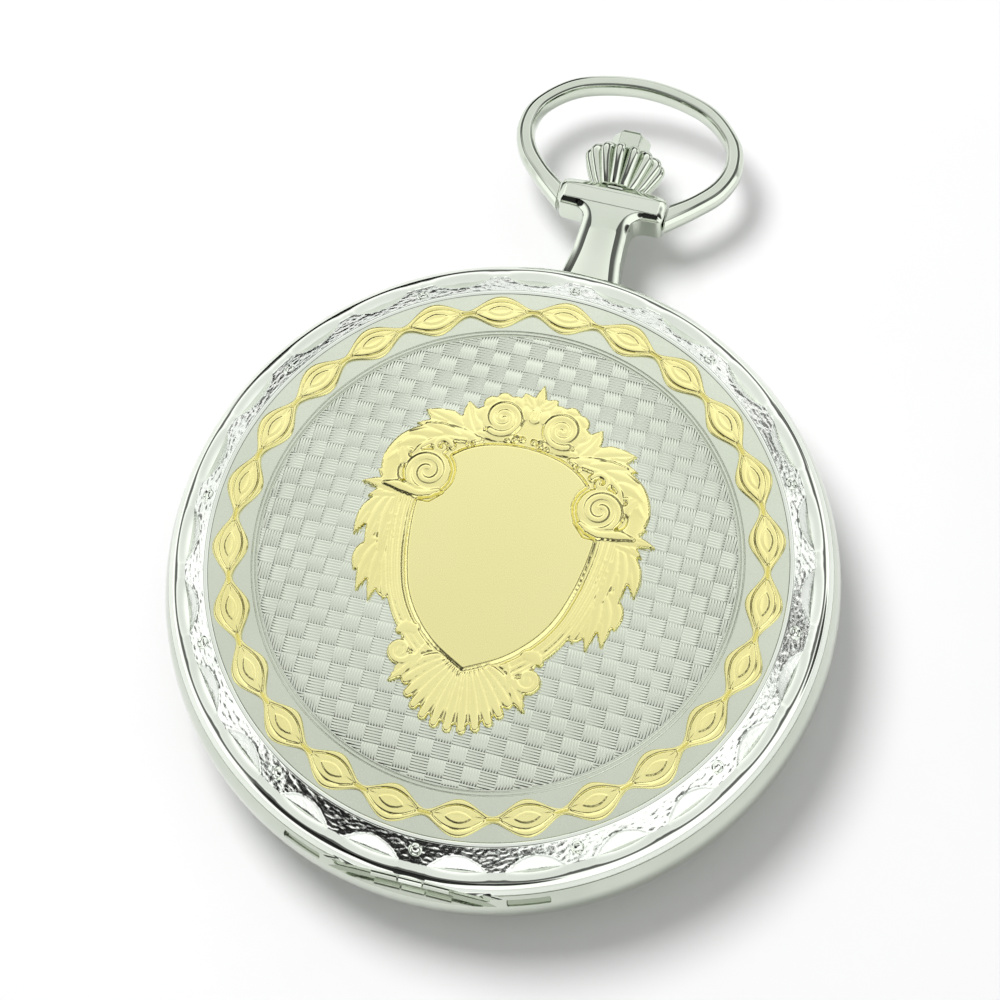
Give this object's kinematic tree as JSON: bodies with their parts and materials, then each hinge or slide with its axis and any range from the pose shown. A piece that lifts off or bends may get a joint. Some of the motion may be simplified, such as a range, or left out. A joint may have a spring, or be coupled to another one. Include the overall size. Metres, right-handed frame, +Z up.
{
  "type": "hunter pocket watch",
  "caption": "Hunter pocket watch: hinged engraved front lid, snap back, swinging bow, push-button crown and a hand-wound movement inside.",
  "frame": {"origin": "centre of the flat resting face of the back, on the case axis", "axes": "+Z up out of the dial, +Y towards the pendant at 12 o'clock, +X towards 3 o'clock"},
  "size_m": [0.05, 0.0686, 0.0134],
  "materials": {
    "polished_steel": "polished",
    "lid_steel": "satin with engraved rim",
    "pale_gold": "gold plated",
    "movement_plate": "rhodium plated",
    "hardened_steel": "ground",
    "blued_steel": "heat blued",
    "ruby": "polished",
    "crystal": "clear mineral glass",
    "dial_white": "lacquered",
    "hand_black": "gloss"
  },
  "bodies": {
    "case": {"case_middle": "polished_steel", "pendant": "polished_steel", "hinge_pin": "hardened_steel", "crystal_bezel": "polished_steel", "crystal": "crystal", "movement_ring": "movement_plate", "spring_screws": "blued_steel", "mainplate": "movement_plate", "barrel_bridge": "movement_plate", "train_bridge": "movement_plate", "balance_cock": "movement_plate", "pallet_bridge": "movement_plate", "jewels": "ruby", "bridge_screws": "blued_steel", "case_screws": "blued_steel", "click_spring": "hardened_steel", "dial": "dial_white"},
    "front_lid": {"front_lid": "lid_steel"},
    "back_cover": {"back_cover": "polished_steel"},
    "bow": {"bow": "polished_steel"},
    "winding_pinion": {"winding_pinion": "hardened_steel"},
    "crown": {"crown": "polished_steel", "winding_stem": "hardened_steel"},
    "clutch": {"clutch": "hardened_steel"},
    "lid_button": {"lid_button": "polished_steel", "push_rod": "hardened_steel", "cross_pin": "hardened_steel", "release_collar": "hardened_steel"},
    "lock_spring": {"lock_spring": "hardened_steel"},
    "lift_spring": {"lift_spring": "hardened_steel"},
    "setting_lever": {"setting_lever": "hardened_steel"},
    "yoke": {"yoke": "hardened_steel"},
    "crown_wheel": {"crown_wheel": "hardened_steel", "contrate_wheel": "hardened_steel", "crown_wheel_screw": "blued_steel"},
    "ratchet": {"ratchet_wheel": "hardened_steel", "ratchet_screw": "blued_steel", "barrel_arbor": "hardened_steel"},
    "click": {"click": "hardened_steel"},
    "fourth_wheel": {"fourth_wheel": "pale_gold", "seconds_hand": "hand_black"},
    "third_wheel": {"third_wheel": "pale_gold"},
    "centre_wheel": {"centre_wheel": "pale_gold", "cannon_pinion": "hardened_steel", "minute_hand": "hand_black"},
    "barrel": {"barrel": "pale_gold", "barrel_cover": "pale_gold", "mainspring": "hardened_steel"},
    "escape_wheel": {"escape_wheel": "hardened_steel"},
    "minute_wheel": {"minute_wheel": "pale_gold"},
    "setting_wheel": {"setting_wheel": "hardened_steel"},
    "hour_wheel": {"hour_wheel": "pale_gold", "hour_hand": "hand_black"},
    "balance": {"balance_wheel": "pale_gold", "balance_staff": "hardened_steel", "roller": "hardened_steel", "hairspring": "blued_steel"},
    "pallet_fork": {"pallet_fork": "hardened_steel", "pallet_stones": "ruby"},
    "regulator": {"regulator": "hardened_steel"}
  },
  "joints": [
    {"name": "lid_hinge", "type": "hinge", "parent": "case", "child": "front_lid", "pos_m": [0, -0.0238, 0.0091], "axis": [1, 0, 0], "range_deg": [0, 100]},
    {"name": "back_cover_off", "type": "slide", "parent": "case", "child": "back_cover", "axis": [0, 0, -1], "range_m": [0, 0.012]},
    {"name": "bow_swing", "type": "hinge", "parent": "case", "child": "bow", "pos_m": [0, 0.0323, 0.005], "axis": [1, 0, 0], "range_deg": [-120, 120]},
    {"name": "crown_turn", "type": "hinge", "parent": "case", "child": "winding_pinion", "pos_m": [0, 0, 0.005], "axis": [0, 1, 0], "continuous": true},
    {"name": "crown_pull", "type": "slide", "parent": "winding_pinion", "child": "crown", "axis": [0, 1, 0], "range_m": [0, 0.001]},
    {"name": "button_press", "type": "slide", "parent": "crown", "child": "lid_button", "axis": [0, -1, 0], "range_m": [0, 0.0008], "stiffness_N_per_m": 3000},
    {"name": "clutch_slide", "type": "slide", "parent": "winding_pinion", "child": "clutch", "axis": [0, -1, 0], "range_m": [0, 0.0008]},
    {"name": "setting_lever_turn", "type": "hinge", "parent": "case", "child": "setting_lever", "pos_m": [0.0029, 0.01745, 0], "axis": [0, 0, -1], "range_deg": [0, 25]},
    {"name": "yoke_turn", "type": "hinge", "parent": "case", "child": "yoke", "pos_m": [0.0044, 0.0139, 0], "axis": [0, 0, 1], "range_deg": [0, 14]},
    {"name": "lock_spring_flex", "type": "hinge", "parent": "case", "child": "lock_spring", "pos_m": [0.01832, 0.01145, 0], "axis": [0, 0, 1], "range_deg": [0, 2.2]},
    {"name": "lift_spring_flex", "type": "hinge", "parent": "case", "child": "lift_spring", "pos_m": [-0.01871, 0.0108, 0], "axis": [0, 0, 1], "range_deg": [0, 1]},
    {"name": "crown_wheel_turn", "type": "hinge", "parent": "case", "child": "crown_wheel", "pos_m": [0, 0.01305, 0], "axis": [0, 0, -1], "continuous": true},
    {"name": "ratchet_turn", "type": "hinge", "parent": "case", "child": "ratchet", "pos_m": [-0.0056, 0.00626, 0], "axis": [0, 0, -1], "continuous": true},
    {"name": "click_lift", "type": "hinge", "parent": "case", "child": "click", "pos_m": [0.00232, 0.00738, 0], "axis": [0, 0, -1], "range_deg": [0, 8], "stiffness_Nm_per_rad": 0.002},
    {"name": "seconds_turn", "type": "hinge", "parent": "case", "child": "fourth_wheel", "pos_m": [0, -0.0096, 0], "axis": [0, 0, -1], "continuous": true},
    {"name": "third_turn", "type": "hinge", "parent": "case", "child": "third_wheel", "pos_m": [0.00284, -0.00511, 0], "axis": [0, 0, -1], "continuous": true},
    {"name": "centre_turn", "type": "hinge", "parent": "case", "child": "centre_wheel", "pos_m": [0, 0, 0], "axis": [0, 0, -1], "continuous": true},
    {"name": "barrel_turn", "type": "hinge", "parent": "case", "child": "barrel", "pos_m": [-0.0056, 0.00626, 0], "axis": [0, 0, -1], "continuous": true},
    {"name": "escape_turn", "type": "hinge", "parent": "case", "child": "escape_wheel", "pos_m": [-0.00479, -0.00737, 0], "axis": [0, 0, -1], "continuous": true},
    {"name": "minute_wheel_turn", "type": "hinge", "parent": "case", "child": "minute_wheel", "pos_m": [0, 0.0048, 0], "axis": [0, 0, -1], "continuous": true},
    {"name": "setting_wheel_turn", "type": "hinge", "parent": "case", "child": "setting_wheel", "pos_m": [0, 0.01, 0], "axis": [0, 0, -1], "continuous": true},
    {"name": "hour_turn", "type": "hinge", "parent": "case", "child": "hour_wheel", "pos_m": [0, 0, 0], "axis": [0, 0, -1], "continuous": true},
    {"name": "balance_swing", "type": "hinge", "parent": "case", "child": "balance", "pos_m": [-0.01071, -0.00521, 0], "axis": [0, 0, 1], "range_deg": [-140, 140]},
    {"name": "fork_swing", "type": "hinge", "parent": "case", "child": "pallet_fork", "pos_m": [-0.00761, -0.00634, 0], "axis": [0, 0, 1], "range_deg": [-6, 6]},
    {"name": "regulator_turn", "type": "hinge", "parent": "case", "child": "regulator", "pos_m": [-0.01071, -0.00521, 0], "axis": [0, 0, 1], "range_deg": [-20, 20]}
  ],
  "couplings": [
    {"joint": "third_turn", "follows": "seconds_turn", "ratio": -0.13333},
    {"joint": "centre_turn", "follows": "seconds_turn", "ratio": 0.016667},
    {"joint": "barrel_turn", "follows": "seconds_turn", "ratio": -0.0027778},
    {"joint": "escape_turn", "follows": "seconds_turn", "ratio": -10},
    {"joint": "minute_wheel_turn", "follows": "seconds_turn", "ratio": -0.0055556},
    {"joint": "hour_turn", "follows": "seconds_turn", "ratio": 0.0013889},
    {"joint": "setting_wheel_turn", "follows": "seconds_turn", "ratio": 0.0125},
    {"joint": "crown_wheel_turn", "follows": "crown_turn", "ratio": -0.5},
    {"joint": "ratchet_turn", "follows": "crown_turn", "ratio": 0.34615},
    {"joint": "clutch_slide", "follows": "crown_pull", "ratio": 0.8},
    {"joint": "setting_lever_turn", "follows": "crown_pull", "rad_per_m": 420.1},
    {"joint": "yoke_turn", "follows": "crown_pull", "rad_per_m": 230.38},
    {"joint": "lock_spring_flex", "follows": "button_press", "rad_per_m": 44.288},
    {"joint": "lift_spring_flex", "follows": "lid_hinge", "ratio": 0.009},
    {"joint": "fork_swing", "follows": "balance_swing", "ratio": -0.035714}
  ]
}
